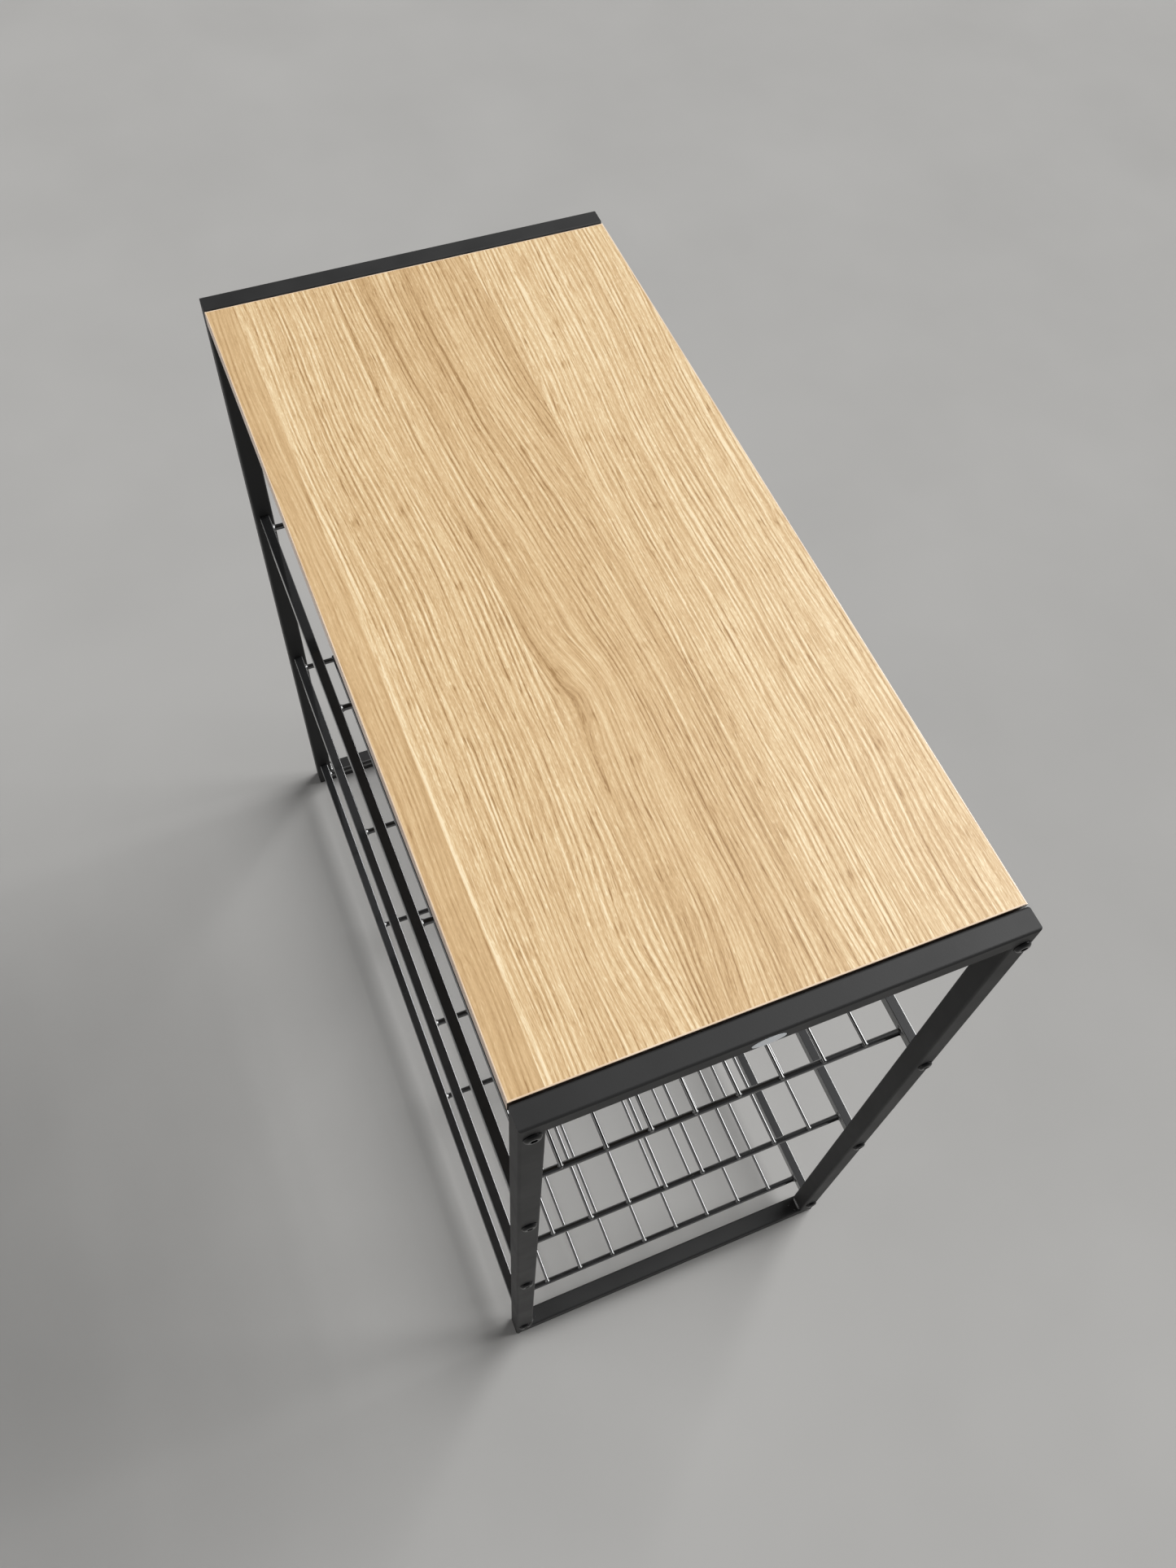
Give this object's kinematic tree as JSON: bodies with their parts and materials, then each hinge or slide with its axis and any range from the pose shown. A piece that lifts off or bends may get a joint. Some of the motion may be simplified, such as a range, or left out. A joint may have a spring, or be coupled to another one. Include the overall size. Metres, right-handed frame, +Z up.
{
  "type": "entryway bench",
  "caption": "Rigid entryway bench with an oak laminate seat board between two square-tube end frames and bolted wire shelves underneath for shoes.",
  "frame": {"origin": "on the floor under the middle of the bench", "axes": "+X along the bench towards its right end, -Y towards the front, +Z up"},
  "size_m": [0.6368, 0.3, 0.645],
  "materials": {
    "powder_coat": "satin black powder coat on the end frame tubes",
    "bar_coat": "semi-gloss black powder coat on the square bars",
    "wire_coat": "gloss black powder coat on rods and wires",
    "oak_laminate": "satin printed oak laminate, grain along the length",
    "edge_band": "light brown edge band with an eased edge",
    "black_bolt": "glossy black plated steel",
    "zinc_plate": "bright zinc plate",
    "label": "blank white film"
  },
  "bodies": {
    "root": {"left_top_tube": "powder_coat", "left_bottom_tube": "powder_coat", "left_front_leg": "powder_coat", "left_rear_leg": "powder_coat", "right_top_tube": "powder_coat", "right_bottom_tube": "powder_coat", "right_front_leg": "powder_coat", "right_rear_leg": "powder_coat", "seat_board": "oak_laminate", "front_edge_band": "edge_band", "rear_edge_band": "edge_band", "left_edge_band": "edge_band", "right_edge_band": "edge_band", "front_board_bar": "bar_coat", "rear_board_bar": "bar_coat", "board_screws": "zinc_plate", "board_bar_bolts": "black_bolt", "lower_shelf_front_bar": "bar_coat", "lower_shelf_rear_bar": "bar_coat", "lower_shelf_rods": "wire_coat", "lower_shelf_wires": "wire_coat", "lower_shelf_bolts": "black_bolt", "middle_shelf_front_bar": "bar_coat", "middle_shelf_rear_bar": "bar_coat", "middle_shelf_rods": "wire_coat", "middle_shelf_wires": "wire_coat", "middle_shelf_bolts": "black_bolt", "upper_shelf_front_bar": "bar_coat", "upper_shelf_rear_bar": "bar_coat", "upper_shelf_rods": "wire_coat", "upper_shelf_wires": "wire_coat", "upper_shelf_bolts": "black_bolt", "oval_label": "label"}
  },
  "joints": []
}
